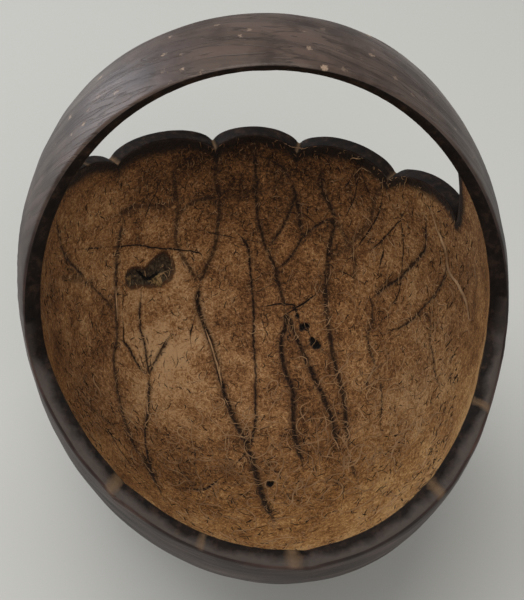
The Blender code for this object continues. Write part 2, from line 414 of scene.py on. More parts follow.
def close_roots(strap, along, band, bands, rim, from_corner):
    """Puts each vertex of the strap's two ends on the rim vertex it belongs to, so that they weld."""
    left = np.flatnonzero(from_corner > 0)[0] - 1
    right_root = np.arange(len(rim) - bands, len(rim) + 1) % len(rim)
    left_root = np.arange(left + bands, left - 1, -1)
    points = points_of(strap)
    for at_end, root in ((along < 1e-6, right_root), (along > 1 - 1e-6, left_root)):
        target = rim[root[band[at_end]]]
        gap = np.linalg.norm(points[at_end] - target, axis=1).max()
        assert gap < 0.05 * MM, "the strap's ends miss the bowl"
        points[at_end] = target
    move_points(strap, points)


def check_openings(piece):
    """Stops unless the welded skin has two open edges: one before the handle and one behind it."""
    uses = {}
    for face in piece.data.polygons:
        for key in face.edge_keys:
            uses[key] = uses.get(key, 0) + 1
    follow = {}
    for (start, end), count in uses.items():
        if count == 1:
            follow.setdefault(start, set()).add(end)
            follow.setdefault(end, set()).add(start)
    openings = 0
    while follow:
        openings += 1
        waiting = [next(iter(follow))]
        while waiting:
            waiting += follow.pop(waiting.pop(), ())
    assert openings == 2, f"{piece.name} has {openings} open edges instead of 2"


def skin_points(piece, deeper, lean):
    """Places of a skin's vertices when it lies at a depth below the nut's outside."""
    kind, first, second, third = (read_values(piece, n) for n in ("kind", "first", "second", "third"))
    points = np.zeros((len(kind), 3))
    bowl, strap = kind < 0.5, kind > 0.5
    if bowl.any():
        grow = -deeper(second[bowl])
        points[bowl] = bowl_points(first[bowl], second[bowl], third[bowl], grow)
    if strap.any():
        points[strap] = strap_points(first[strap], second[strap], deeper, lean)
    return points


# ---------------------------------------------------------------- lines and marks on the inside

def place_on_inside(right, behind, grow=-BOWL_WALL):
    """Points on the inside, from degrees to the right of and behind the bottom of the bowl."""
    right, behind = np.asarray(right, float), np.asarray(behind, float)
    slant = np.radians(np.hypot(right, behind) - 90)
    height = np.sin(slant) * reach_along_z(slant, grow)
    return nut_points(np.arctan2(behind, right), height, grow)


def degrees_on_inside(points):
    """The reverse: degrees to the right of and behind the bottom, for points near the inside."""
    local = points - NUT_CENTRE
    local[:, 0] -= nose_shift(local[:, 1])
    reach = reach_along_z(local[:, 2], -BOWL_WALL)
    slant = np.arcsin(np.clip(local[:, 2] / reach, -1, 1))
    rho = np.degrees(slant) + 90
    angle = np.arctan2(local[:, 1], local[:, 0])
    return rho * np.cos(angle), rho * np.sin(angle)


def smooth_route(route, spacing):
    """Evenly spaced points along a smooth curve through a route's points."""
    knots = [np.array(p, float) for p in route]
    knots = [2 * knots[0] - knots[1], *knots, 2 * knots[-1] - knots[-2]]
    path = []
    for before, start, end, after in zip(knots, knots[1:], knots[2:], knots[3:]):
        steps = max(1, int(np.linalg.norm(end - start) / spacing))
        for share in np.arange(steps) / steps:
            path.append(0.5 * (2 * start + (end - before) * share
                               + (2 * before - 5 * start + 4 * end - after) * share ** 2
                               + (3 * start - before - 3 * end + after) * share ** 3))
    return np.array([*path, knots[-2]])


# Veins on the inside: half width in mm, darkness, and route in degrees right of and behind the bottom
VEINS = (
    (0.95, 0.95, ((-19, 46), (-19, 40), (-16, 33), (-13, 26), (-11, 18), (-8, 8), (-5, 1), (-3, -4),
                  (-2, -10), (-1, -20), (0, -25))),
    (0.70, 0.60, ((-19, 46), (-22, 50), (-27, 55), (-29.5, 59), (-30, 65), (-31, 70), (-34, 78))),
    (0.70, 0.65, ((-19, 46), (-17, 51), (-14, 58), (-13, 65), (-12.5, 73), (-15, 80), (-14, 90))),
    (0.60, 0.60, ((-30, 65), (-27, 69), (-22, 72), (-15, 73.5), (-12.5, 73.5))),
    (0.60, 0.28, ((-12.5, 73.5), (-5, 74.5), (0, 75.5), (10, 76), (17, 78))),
    (1.10, 0.40, ((-31, 69), (-38, 67), (-45, 65), (-50, 63), (-58, 57))),
    (0.40, 0.85, ((-5, 63), (-1, 58), (-0.5, 50), (0, 40), (-0.5, 30), (-0.5, 20), (-1, 10), (-1.5, 2),
                  (-3, -4))),
    (0.55, 0.75, ((3, 90), (3.5, 80), (3, 70), (5, 60), (8, 53), (9, 48), (10, 42), (10.5, 38))),
    (0.75, 0.90, ((10.5, 38), (10, 33), (8, 28), (8, 20), (9.5, 12), (8.5, 5), (8, 0), (8.5, -10))),
    (0.75, 0.90, ((10.5, 38), (12, 33), (14, 25), (16.5, 15), (18.5, 6), (19.5, 0), (19.5, -8))),
    (0.45, 0.75, ((9.5, 51), (13, 53), (17, 56), (20, 59), (25, 61), (30, 62), (34, 62))),
    (0.50, 0.70, ((6, 58), (10, 61), (15, 66), (19, 72), (19, 77))),
    (0.50, 0.70, ((19, 77), (15, 82), (7, 86))),
    (0.60, 0.75, ((19, 77), (20, 70), (20, 60))),
    (0.85, 0.75, ((23, -8), (23.5, 0), (24, 8), (23.5, 20), (24, 30), (24.5, 38), (25.5, 43), (28, 49),
                  (30, 54), (33, 59), (34, 62), (33, 67), (31, 72), (33, 78))),
    (0.85, 0.45, ((34, 62), (36, 57), (38, 50), (38, 45), (36, 40))),
    (0.70, 0.45, ((29, 50), (38, 52), (48, 55), (53, 60), (60, 63))),
    (0.50, 0.60, ((22, -15), (22, -22))),
    (0.80, 0.65, ((-54, 57), (-53, 47), (-51, 38), (-49, 30), (-47, 22), (-47, 15), (-45, 8), (-43, 0),
                  (-40, -8), (-37, -13), (-34, -16), (-30, -24))),
    (0.45, 0.80, ((-46, 22), (-42, 21), (-38, 17), (-33.5, 14))),
    (0.50, 0.80, ((-40, 38), (-39, 30), (-36, 23), (-33.5, 14))),
    (0.50, 0.75, ((-28, 28), (-31, 22), (-33, 17), (-33.5, 14))),
    (0.60, 0.85, ((-33.5, 14), (-33, 5), (-34, -5), (-33, -12), (-31, -20), (-28, -28))),
    (0.55, 0.70, ((-91, 34), (-85, 32), (-80, 30), (-73, 31), (-66, 32), (-62, 30))),
    (0.45, 0.55, ((-66, 32), (-54, 31), (-50, 29))),
    (1.10, 0.35, ((-78, 22), (-72, 27), (-65, 31), (-60, 34))),
    (0.60, 0.80, ((41, 33), (47, 34), (53, 33.5), (60, 34), (67, 34), (70, 36), (73, 40))),
    (0.45, 0.60, ((41, 33), (39, 27), (36, 22), (36, 15), (37, 12))),
    (0.50, 0.70, ((45, 20), (52, 19), (60, 19), (68, 19), (74, 20), (77, 23), (77, 27), (79, 33))),
    (0.45, 0.60, ((57, -12), (57, -5), (58, 0), (58, 6), (60, 11), (60, 15), (58, 18))),
    (0.50, 0.60, ((33, 5), (32, 8), (35, 11), (40, 12))),
    (0.45, 0.55, ((34, -8), (36, 0), (37, 8))),
    (0.60, 0.40, ((-60, -10), (-50, -10), (-43, -10))),
)

# Cracks and fine dark threads, written the same way
CRACKS = (
    (0.22, 0.95, ((-55, 48), (-48, 51.5), (-44, 53), (-38, 54), (-30, 55.5), (-20, 56), (-18, 54))),
    (0.18, 0.80, ((-70, 39), (-64, 43), (-60, 45.5))),
    (0.22, 1.00, ((3, 40), (8, 40.3), (12, 39.7), (13.7, 39), (14, 37), (14.5, 35), (14.8, 33))),
    (0.30, 1.00, ((10.5, 36.5), (14, 38), (18, 39.5), (22, 41))),
    (0.22, 0.90, ((18, 25), (20, 24), (21.5, 22))),
    (0.18, 0.80, ((0.5, 44.5), (3, 45.2), (6, 46.2))),
    (0.18, 0.70, ((-20, 63), (-15, 62.5), (-10, 62), (-5, 61))),
    (0.25, 0.80, ((2.5, 37), (3, 34), (3.3, 33))),
    (0.30, 0.85, ((-20, 35), (-21, 31), (-20.8, 29))),
    (0.20, 0.70, ((-28, 29), (-30, 25), (-31, 22))),
    (0.35, 1.00, ((-20, -20), (-15, -18), (-11, -14))),
    (0.30, 0.80, ((-7, -9), (-3, -4))),
    (0.25, 0.80, ((-18, -5), (-18, -10))),
    (0.25, 0.80, ((-49, -12), (-44, -17), (-38, -22))),
    (0.25, 0.75, ((40, 50), (45, 52), (52, 55), (57, 59))),
    (0.22, 0.75, ((45, 47), (55, 48), (66, 50))),
    (0.30, 0.95, ((46.5, 40), (48, 42), (50, 44), (51, 46))),
    (0.25, 0.85, ((40, 69), (43, 69.5), (46, 71))),
    (0.20, 0.70, ((30, 47), (34, 44), (37, 41), (38, 40))),
    (0.25, 0.80, ((45, 35), (48, 35.5), (49.5, 35.2))),
    (0.25, 0.85, ((-46, 29), (-45, 26), (-44, 22), (-41, 20))),
    (0.20, 0.75, ((-48, 38), (-47, 35), (-46.5, 31))),
    (0.20, 0.60, ((50, 77), (51, 70), (52, 62))),
    (0.24, 0.95, ((14.8, 33), (15.4, 31.6), (16.8, 30.4), (17.4, 29), (17.9, 27.6))),
    (0.16, 0.75, ((-44, 60), (-43, 66), (-41, 71), (-42, 76))),
    (0.16, 0.75, ((14, 68), (22, 66), (27, 61))),
    (0.16, 0.75, ((38, 60), (46, 66), (51, 73))),
    (0.18, 0.80, ((30, 84), (36, 80), (38, 74))),
    (0.18, 0.75, ((62, 50), (60, 43), (57, 38), (52, 30), (46, 27))),
)

# Tangled pale strands on the wall, thick enough to stand up: half width in mm and route
PALE_STRANDS = (
    (0.45, ((78, 42), (77.5, 34), (78, 25), (76, 18), (78, 10), (79, 0), (78, -8), (80, -12))),
    (0.30, ((-16, 33), (-13.5, 27), (-11.5, 21), (-10.5, 17))),
    (0.25, ((-51, 37), (-49, 31), (-48, 27))),
)

# Knot: an outline in the same degrees, the tan flecks that show in it, and the black gash across it
KNOT = ((-47.5, 42), (-46, 44.5), (-43, 46), (-40, 46.8), (-38.5, 49), (-36, 52), (-33, 53.8), (-30, 52),
        (-28.7, 49), (-30, 46), (-33, 43.8), (-37, 42.2), (-41, 41.3), (-44, 39.2), (-46.5, 39.5))
KNOT_GASH = (
    (0.55, 1.0, ((-44.6, 45.2), (-41.5, 44.9), (-38.3, 43.9), (-35.5, 46), (-32.2, 48.6))),
    (0.50, 1.0, ((-44.3, 43.8), (-43.4, 41.5), (-44, 39))),
    (0.28, 1.0, ((-32, 47), (-31.5, 44), (-32, 41.5))),
    (0.42, 1.0, ((-34, 52.6), (-32.6, 51), (-31.5, 49.6))),
)
KNOT_FLECKS = (
    ((-38, 44.0), (-32.6, 47.3), (-32.8, 42.8), (-35, 42.9)),
    ((-46.2, 41.2), (-44.9, 43.7), (-44.2, 41.2), (-44.9, 39.2)),
)
CHIPS = (
    ((14.3, 30.8), (14.5, 32.8), (16.2, 33), (17.8, 32.4), (17.6, 31.2), (15.6, 31.3), (15.4, 30.5)),
    ((13.4, 35.7), (14.5, 36.4), (14.8, 35.1), (14.0, 34.6)),
    ((16.8, 28), (17.8, 28.3), (19.2, 26.6), (20.2, 24.9), (19.3, 24), (17.8, 24.2), (17.0, 26)),
    ((-0.2, -13.8), (0.2, -12.2), (1.4, -12.3), (1.3, -13.6), (0.6, -14.2)),
)


def line_field(points, lines, spacing=0.5):
    """For each point: signed and plain distance to the nearest line in mm, its half width, darkness."""
    centres, sides, widths, shades = [], [], [], []
    for half_width, shade, route in lines:
        path = smooth_route(route, spacing)
        line = place_on_inside(path[:, 0], path[:, 1])
        normal = line - NUT_CENTRE
        side = np.cross(normal, np.gradient(line, axis=0))
        side /= np.linalg.norm(side, axis=1)[:, None]
        share = np.linspace(0, 1, len(line))
        taper = np.clip(np.minimum(share, 1 - share) * len(line) * spacing / 3, 0.35, 1)
        centres.append(line)
        sides.append(side)
        widths.append(half_width * taper)
        shades.append(shade * np.clip(taper + 0.2, 0, 1))
    centres, sides = np.concatenate(centres), np.concatenate(sides)
    widths, shades = np.concatenate(widths), np.concatenate(shades)
    tree = kdtree.KDTree(len(centres))
    for index, centre in enumerate(centres):
        tree.insert(centre, index)
    tree.balance()
    found = np.array([tree.find(point)[1:] for point in points])
    nearest = found[:, 0].astype(int)
    signed = np.sum((points - centres[nearest]) * sides[nearest], axis=1) / MM
    return signed, found[:, 1] / MM, widths[nearest], shades[nearest]


def inside_outline(x, y, outline):
    """Distance inside a closed outline, in its own units, and less than nothing outside it."""
    corners = np.array(outline, float)
    inside = np.zeros(len(x), bool)
    distance = np.full(len(x), 1e9)
    for start, end in zip(corners, np.roll(corners, -1, axis=0)):
        crosses = (start[1] > y) != (end[1] > y)
        rise = np.where(abs(end[1] - start[1]) < 1e-9, 1e-9, end[1] - start[1])
        inside ^= crosses & (x < start[0] + (y - start[1]) / rise * (end[0] - start[0]))
        run = end - start
        share = np.clip(((x - start[0]) * run[0] + (y - start[1]) * run[1]) / (run @ run), 0, 1)
        distance = np.minimum(distance, np.hypot(x - start[0] - share * run[0],
                                                 y - start[1] - share * run[1]))
    return np.where(inside, distance, -distance)


def patch(x, y, where, size):
    """A soft patch round a place: 1 in its middle, 0 well outside."""
    return np.exp(-((x - where[0]) / size[0]) ** 2 - ((y - where[1]) / size[1]) ** 2)


# ---------------------------------------------------------------- the hard shell

# Vertices round the rim for each scallop, each stretch of the front and each handle root
SHELL_COLUMNS = (14, 22, 18)
SHELL_ROWS = 42
SHELL_CROWD = 1.15
STRAP_STEPS = 112
SKIN_RECESS = 1.3 * MM
EDGE_ROUNDING = 1.3 * MM


def shell_depth(edge):
    """How deep the hard shell's inner side lies behind the raw skin, by distance from an edge."""
    recess = SKIN_RECESS * smooth_step(0.5 * MM, 3.5 * MM, edge)
    return lambda height, recess=recess: wall_at(height) - 0.05 * MM - recess


def make_shell():
    """Bowl and handle as one closed wall; its sawn edges are rounded over afterwards, in finish_shell."""
    columns = rim_columns(*SHELL_COLUMNS)
    shell = nut_skin("carved_shell", columns, SHELL_ROWS, STRAP_STEPS, SHELL_COLUMNS[2], SHELL_CROWD)
    outer_count = len(shell.data.vertices)
    write_values(shell, "depth_share", np.zeros(outer_count))
    shell.data.materials.append(finish_polished_shell())
    shell.data.materials.append(finish_sawn_shell())
    do_modifier(shell, "SOLIDIFY", thickness=3 * MM, offset=-1, use_rim=True, material_offset_rim=1)
    inner = np.arange(len(shell.data.vertices)) >= outer_count
    write_values(shell, "depth_share", inner.astype(float))
    kind = read_values(shell, "kind")
    edge = read_values(shell, "from_edge")
    points = points_of(shell)
    for wanted in (BOWL, STRAP):
        chosen = inner & (np.round(kind) == wanted)
        points[chosen] = wall_points(shell, chosen, edge)
    move_points(shell, points)
    return shell


def wall_points(piece, chosen, edge):
    """Places on the hard shell's inner side for some of its vertices."""
    first, second, third = (read_values(piece, n)[chosen] for n in ("first", "second", "third"))
    kind = read_values(piece, "kind")[chosen][0]
    deeper = shell_depth(edge[chosen])
    if kind < 0.5:
        return bowl_points(first, second, third, -deeper(second))
    return strap_points(first, second, deeper, 1.0)


def weigh_edges(shell):
    """Marks the sawn edges for rounding: wide on the outside in front, narrow elsewhere."""
    mesh = shell.data
    share = read_values(shell, "depth_share")
    edge = read_values(shell, "from_edge")
    points = points_of(shell) - NUT_CENTRE
    ends = np.empty(len(mesh.edges) * 2, int)
    mesh.edges.foreach_get("vertices", ends)
    ends = ends.reshape(-1, 2)
    on_edge = (edge[ends] < 0.01 * MM).all(axis=1) & (abs(share[ends[:, 0]] - share[ends[:, 1]]) < 0.5)
    faces_of = {}
    for face in mesh.polygons:
        for key in face.edge_keys:
            faces_of.setdefault(key, []).append(face.index)
    middle = points[ends].mean(axis=1)
    weights = np.zeros(len(ends))
    low_front = smooth_step(-18 * MM, -30 * MM, middle[:, 1])
    on_strap = smooth_step(8 * MM, 30 * MM, middle[:, 2]) * smooth_step(5 * MM, -3 * MM, middle[:, 1])
    outer_weight = 0.40 + 0.60 * low_front + 0.45 * on_strap
    weights[on_edge] = np.where(share[ends[:, 0]] < 0.5, outer_weight, 0.30)[on_edge]
    layer = mesh.attributes.new("bevel_weight_edge", "FLOAT", "EDGE")
    layer.data.foreach_set("value", weights.astype(np.float32))


# Where hands have worn the edge down to tan fibre: direction in degrees and half the stretch
WORN_NOTCHES = ((-125, 1.4), (-88, 1.8), (-58, 1.4), (-105, 0.9), (-40, 0.9), (45, 0.7), (75, 0.7),
                (100, 0.7), (132, 1.2), (143, 1.0))


def finish_shell(shell):
    weigh_edges(shell)
    do_modifier(shell, "BEVEL", limit_method="WEIGHT", width=EDGE_ROUNDING, segments=3, profile=0.5)
    do_modifier(shell, "SUBSURF", levels=1, render_levels=1)
    points, normals = points_of(shell), normals_of(shell)
    local = points - NUT_CENTRE
    depth = depth_in_nut(points)
    # Hand shaping: slow swells all over, fine scraper grooves outside, a filed unevenness on the edges
    outside = 1 - smooth_step(0.2 * MM, 1.0 * MM, depth)
    swell = waviness(points, 22 * MM, 3) * 0.30 * MM * outside
    grain = np.stack([local[:, 0] * 0.10, np.degrees(grain_angle(local)) * MM * 0.9, 0 * depth], -1)
    grooves = waviness(grain, 1.6 * MM, 5, 2) * 0.07 * MM * outside
    on_cut = (1 - outside) * (depth < wall_at(local[:, 2]) * 0.98)
    filed = waviness(points, 2.2 * MM, 8, 3) * 0.13 * MM * on_cut
    points += normals * (swell + grooves + filed)[:, None]
    move_points(shell, points)
    write_values(shell, "wall_depth", depth / MM)
    write_values(shell, "grain_along", local[:, 0] / MM)
    write_values(shell, "grain_across", np.degrees(grain_angle(local)))
    write_values(shell, "pinched", smooth_step(48 * MM, 16 * MM, np.hypot(local[:, 1], local[:, 2])))
    write_values(shell, "strap", smooth_step(20 * MM, 52 * MM, local[:, 2]))
    bearing = np.degrees(np.arctan2(local[:, 1], local[:, 0]))
    edge = read_values(shell, "from_edge")
    worn = np.zeros(len(points))
    for notch, reach in WORN_NOTCHES:
        turn = (bearing - notch + 180) % 360 - 180
        worn = np.maximum(worn, np.exp(-(turn / reach) ** 2 - (edge / (1.2 * MM)) ** 2))
    write_values(shell, "worn", worn * (local[:, 2] < 16 * MM))
    write_values(shell, "front", smooth_step(-14 * MM, -30 * MM, local[:, 1]) * (local[:, 2] < 12 * MM))
    shell.data.shade_smooth()


def grain_angle(local):
    """Direction round the nut's side-to-side axis, which the scraper's strokes follow."""
    tilt = math.radians(9)
    y = local[:, 1] * math.cos(tilt) + local[:, 0] * math.sin(tilt)
    return np.arctan2(local[:, 2], -y)


def depth_in_nut(points):
    """How far points lie below the nut's outside."""
    local = points - NUT_CENTRE
    x = local[:, 0] - nose_shift(local[:, 1])
    fullness = np.where(local[:, 2] > 0, UPPER_FULLNESS, LOWER_FULLNESS)
    a, b = NUT_HALF_WIDTH, reach_along_y(local[:, 1])
    c = reach_along_z(local[:, 2])
    flat = np.hypot(x / a, local[:, 1] / b)
    level = (flat ** fullness + np.abs(local[:, 2] / c) ** fullness) ** (1 / fullness)
    slope = np.sqrt((x / a ** 2) ** 2 + (local[:, 1] / b ** 2) ** 2 + (local[:, 2] / c ** 2) ** 2)
    return (level - 1) * -level / np.maximum(slope, 1e-6)


# ---------------------------------------------------------------- the raw skin inside

SKIN_COLUMNS = (34, 52, 44)
SKIN_ROWS = 165
SKIN_CROWD = 1.0
SKIN_STRAP_STEPS = 150
SKIN_THICKNESS = 0.3 * MM


def make_raw_skin():
    """The fibrous skin on the nut's inside, with its veins, cracks, knot and chips sunk in."""
    columns = rim_columns(*SKIN_COLUMNS)
    skin = nut_skin("raw_inner_skin", columns, SKIN_ROWS, SKIN_STRAP_STEPS, SKIN_COLUMNS[2], SKIN_CROWD)
    third, kind, second = (read_values(skin, n) for n in ("third", "kind", "second"))
    edge = read_values(skin, "from_edge")
    on_rim = (kind < 0.5) & (edge < 60 * MM)
    # The skin stops a little below the sawn face, raggedly
    first = read_values(skin, "first")
    ragged = waviness(np.stack([np.cos(first) * 60 * MM, np.sin(first) * 60 * MM, 0 * first], -1),
                      5 * MM, 11)
    short = (0.35 + 0.30 * ragged) * MM * np.exp(-edge / (2 * MM))
    third = np.where(on_rim, third + np.clip(short, 0, None) / RIM_TO_BOTTOM, third)
    write_values(skin, "third", np.clip(third, 0, 1))
    inset = np.clip(0.4 * MM - edge * 0.1, 0, None) / HANDLE_WIDTH
    write_values(skin, "second", np.where(kind > 0.5, second + np.sign(0.5 - second) * inset, second))
    move_points(skin, skin_points(skin, wall_at, 1.0))
    pick(skin)
    bpy.ops.object.mode_set(mode="EDIT")
    bpy.ops.mesh.select_all(action="SELECT")
    bpy.ops.mesh.flip_normals()
    bpy.ops.object.mode_set(mode="OBJECT")
    sink_marks(skin)
    front_count = len(skin.data.vertices)
    group = skin.vertex_groups.new(name="back")
    do_modifier(skin, "SOLIDIFY", thickness=SKIN_THICKNESS, offset=-1, use_rim=True)
    group.add(list(range(front_count, len(skin.data.vertices))), 1.0, "REPLACE")
    skin.vertex_groups.active_index = 0
    do_modifier(skin, "DECIMATE", decimate_type="COLLAPSE", ratio=0.56, vertex_group="back",
                vertex_group_factor=1.0)
    skin.data.shade_smooth()
    return skin


def sink_marks(skin):
    """Moves the skin's vertices for its relief and keeps the marks as values for its finish."""
    points = points_of(skin)
    normals = normals_of(skin)
    x, y = degrees_on_inside(points.copy())
    signed, far, width, dark = line_field(points, VEINS)
    crack_signed, crack_far, crack_width, crack_dark = line_field(points, CRACKS)
    swell = waviness(points, 14 * MM, 2)
    felt = waviness(points, 2.4 * MM, 4)
    groove = np.exp(-((signed + 0.25) / (0.75 * width)) ** 2) * np.exp(-(far / 2.5) ** 2) * dark
    ridge = np.exp(-((signed - width) / (0.8 * width)) ** 2) * np.exp(-(far / 2.5) ** 2) * dark
    split = np.exp(-(crack_far / 0.5) ** 2) * crack_dark
    knot = inside_outline(x, y, KNOT)
    _, gash, gash_width, _ = line_field(points, KNOT_GASH)
    rough = waviness(points, 1.5 * MM, 9)
    pit = smooth_step(-0.6, 1.2, knot + 0.5 * rough)
    lip = np.exp(-((knot + 0.5) / 0.8) ** 2)
    chips = np.max([inside_outline(x, y, outline) for outline in CHIPS], axis=0)
    hole = smooth_step(-0.35, 0.35, chips + 0.15 * rough)
    flecks = np.max([inside_outline(x, y, outline) for outline in KNOT_FLECKS], axis=0)
    relief = 0.35 * swell + 0.10 * felt - 0.32 * groove + 0.16 * ridge - 0.22 * split
    relief += -0.65 * pit + 0.22 * lip + 0.35 * pit * smooth_step(-0.4, 0.6, flecks) - 0.75 * hole
    relief -= 0.35 * np.exp(-(gash / 0.9) ** 2)
    relief += 0.25 * rough * pit
    edge = read_values(skin, "from_edge")
    relief *= smooth_step(-0.5 * MM, 2.0 * MM, edge)
    move_points(skin, points + normals * np.clip(relief, -1.05, 0.5)[:, None] * MM)
    for name, values in (("vein", signed), ("vein_far", far), ("vein_width", width),
                         ("vein_dark", dark), ("crack", crack_signed), ("crack_far", crack_far),
                         ("crack_width", crack_width), ("crack_dark", crack_dark),
                         ("knot", knot), ("chip", chips), ("gash", gash / gash_width), ("flecks", flecks),
                         ("tone_and_shade", skin_tone_and_shade(x, y)), ("gold", skin_gold(x, y)),
                         ("edge", edge / MM), ("behind", y)):
        write_values(skin, name, values)


def skin_tone_and_shade(x, y):
    """Lightness of the skin, with painted shade in it: palest low on the back wall to the left, darkest high
    at the back, where the shade that falls there is painted in.
    """
    tone_and_shade = 0.52 + 0.46 * patch(x, y, (-28, 22), (17, 20)) + 0.12 * patch(x, y, (-26, 62), (14, 12))
    # Painted shade: the back wall darkens towards its top, standing for the shade under the handle
    tone_and_shade -= 0.36 * smooth_step(48, 92, y) - 0.12 * patch(x, y, (66, 40), (16, 24))
    tone_and_shade -= 0.14 * patch(x, y, (-50, 15), (8, 12)) + 0.18 * patch(x, y, (-22, -14), (16, 8))
    tone_and_shade -= 0.10 * patch(x, y, (12, 62), (18, 18)) + 0.06 * patch(x, y, (4, 38), (18, 14))
    tone_and_shade += 0.10 * patch(x, y, (55, 27), (8, 6)) + 0.06 * patch(x, y, (45, 72), (10, 6))
    tone_and_shade += 0.14 * patch(x, y, (-66, 44), (14, 20)) + 0.26 * patch(x, y, (50, -8), (20, 22))
    tone_and_shade += 0.36 * smooth_step(-15, -60, y) - 0.12 * patch(x, y, (14, 10), (10, 24))
    return tone_and_shade


def skin_gold(x, y):
    """How golden the skin is: warm on the front wall and at the sides, grey-pink low at the back."""
    gold = 0.35 + 0.55 * smooth_step(5, -35, y) + 0.25 * smooth_step(50, 80, np.abs(x))
    return gold - 0.2 * patch(x, y, (-10, 30), (30, 30))


# ---------------------------------------------------------------- loose fibre on the inside

def surface_of(piece):
    """A tree that finds the nearest place on a piece's surface."""
    corners = [list(face.vertices) for face in piece.data.polygons]
    return BVHTree.FromPolygons([vertex.co for vertex in piece.data.vertices], corners)


def wandering_route(dice, start, steps, stride, curl):
    """A strand's route in degrees on the inside: a walk that keeps turning a little."""
    x, y = start
    heading, turn = dice.uniform(0, math.tau), dice.gauss(0, curl)
    route = [(x, y)]
    for _ in range(steps):
        turn = 0.7 * turn + dice.gauss(0, curl)
        heading += turn
        x, y = x + stride * math.cos(heading), y + stride * math.sin(heading)
        route.append((x, y))
    return route


def lay_strands(name, surface, strands, lift):
    """Thin round strands along routes on the inside, each a curve with tapered ends, made a mesh.

    Lift is how far a strand's middle stands off the surface, as a share of its half width.
    """
    curve = bpy.data.curves.new(name, "CURVE")
    curve.dimensions = "3D"
    curve.bevel_depth = MM
    curve.bevel_resolution = 0
    curve.use_fill_caps = True
    for half_width, route in strands:
        route = np.array(route)
        line = []
        for point in place_on_inside(route[:, 0], route[:, 1]):
            place, normal, _, _ = surface.find_nearest(Vector(point))
            line.append(place + normal * (half_width * lift * MM))
        spline = curve.splines.new("POLY")
        spline.points.add(len(line) - 1)
        for index, (knot, place) in enumerate(zip(spline.points, line)):
            share = index / (len(line) - 1)
            knot.co = (*place, 1.0)
            knot.radius = half_width * max(0.3, min(1.0, 4 * share, 4 * (1 - share)))
    piece = bpy.data.objects.new(name, curve)
    bpy.context.scene.collection.objects.link(piece)
    pick(piece)
    bpy.ops.object.convert(target="MESH")
    piece = bpy.context.object
    mend(piece)
    x, y = degrees_on_inside(points_of(piece))
    write_values(piece, "tone_and_shade", skin_tone_and_shade(x, y))
    return piece


FRONT_TANGLES = 210
RIGHT_TANGLES = 110
HAIRS = 4600
SLIVERS = 1900


def somewhere(dice):
    """A place on the bowl's inside, spread evenly, in degrees from its bottom."""
    rho, angle = 92 * math.sqrt(dice.random()), dice.uniform(0, math.tau)
    if math.sin(angle) < 0:
        rho *= 0.74
    return rho * math.cos(angle), rho * math.sin(angle)


def make_strands(surface):
    """Pale tangles and hairs, and the dark slivers between them."""
    dice = random.Random(7)
    tangles = [(half_width, smooth_route(route, 1.2)) for half_width, route in PALE_STRANDS]
    for _ in range(FRONT_TANGLES):
        start = (dice.gauss(8, 26), dice.gauss(-8, 15))
        steps = dice.randint(6, 15)
        tangles.append((dice.uniform(0.11, 0.20), wandering_route(dice, start, steps, 1.0, 0.26)))
    for _ in range(RIGHT_TANGLES):
        start = (dice.gauss(42, 18), dice.gauss(30, 20))
        steps = dice.randint(4, 9)
        tangles.append((dice.uniform(0.08, 0.14), wandering_route(dice, start, steps, 1.0, 0.20)))
    hairs = []
    for _ in range(HAIRS):
        steps = dice.randint(2, 4)
        hairs.append((dice.uniform(0.06, 0.115), wandering_route(dice, somewhere(dice), steps, 0.6, 0.4)))
    slivers = []
    for _ in range(SLIVERS):
        steps = dice.randint(2, 5)
        slivers.append((dice.uniform(0.08, 0.16), wandering_route(dice, somewhere(dice), steps, 0.6, 0.22)))
    return (lay_strands("pale_tangles", surface, tangles, 0.5),
            lay_strands("pale_hairs", surface, hairs, 0.35),
            lay_strands("dark_slivers", surface, slivers, 0.1))


# ---------------------------------------------------------------- finishes

